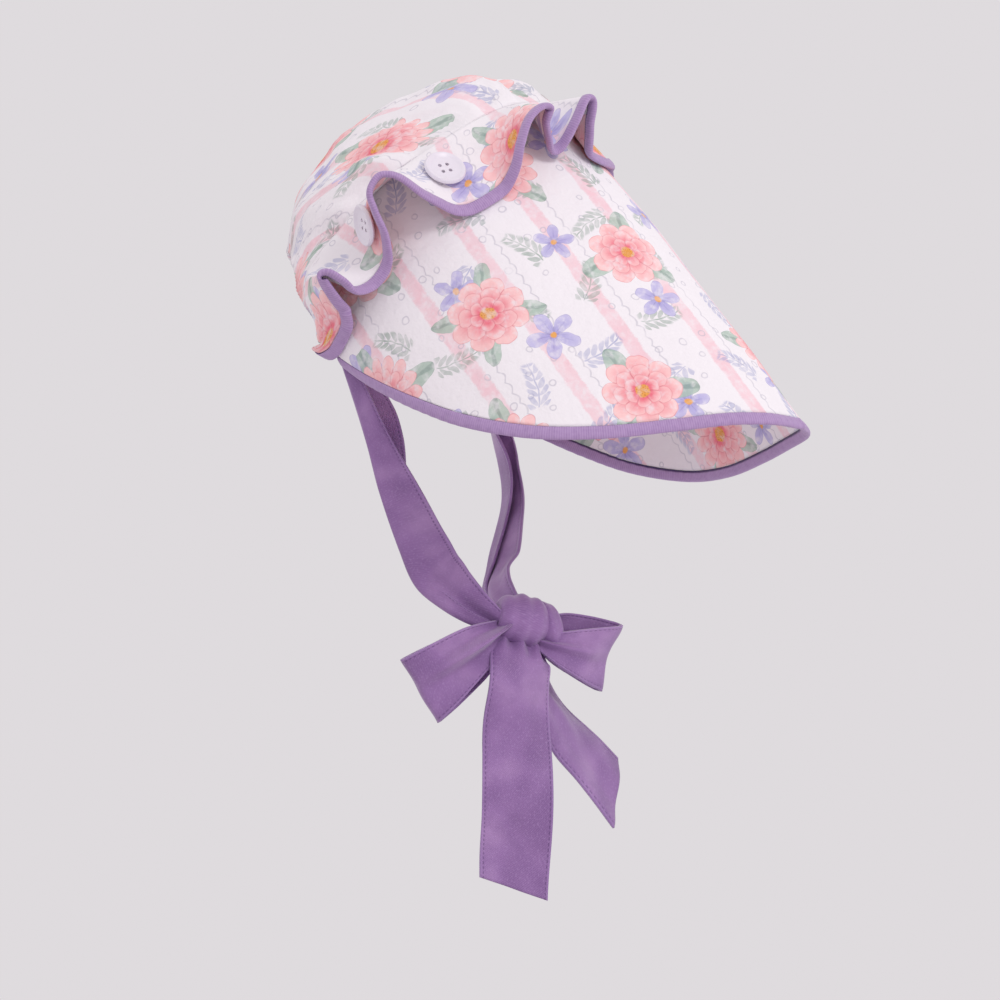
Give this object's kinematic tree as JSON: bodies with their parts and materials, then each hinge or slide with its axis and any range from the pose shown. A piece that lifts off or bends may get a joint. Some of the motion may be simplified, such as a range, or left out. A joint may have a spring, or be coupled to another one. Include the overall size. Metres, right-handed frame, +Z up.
{
  "type": "baby sun bonnet",
  "caption": "Soft cotton baby sun bonnet with a ruffled front, a large curved peak, bound edges, buttons and chin ties in a bow.",
  "frame": {"origin": "inside of the crown, on the middle line, where it sits on the head", "axes": "+Z up, the peak towards -Y, the wearer's left towards +X"},
  "size_m": [0.191, 0.2093, 0.3132],
  "materials": {
    "printed_cotton": "matte cotton printed with small flowers and pink stripes",
    "purple_binding": "matte ribbed binding tape",
    "purple_tie": "soft matte twill",
    "button_white": "satin white with a raised rim"
  },
  "bodies": {
    "root": {"crown": "printed_cotton", "ruffle": "printed_cotton", "ruffle_binding": "purple_binding", "peak": "printed_cotton", "peak_binding": "purple_binding", "button_1": "button_white", "button_2": "button_white", "button_3": "button_white", "button_4": "button_white", "tie_right": "purple_tie", "tie_left": "purple_tie", "bow_knot": "purple_tie", "bow_loop_right": "purple_tie", "bow_loop_left": "purple_tie", "tie_end_right": "purple_tie", "tie_end_left": "purple_tie"}
  },
  "joints": []
}
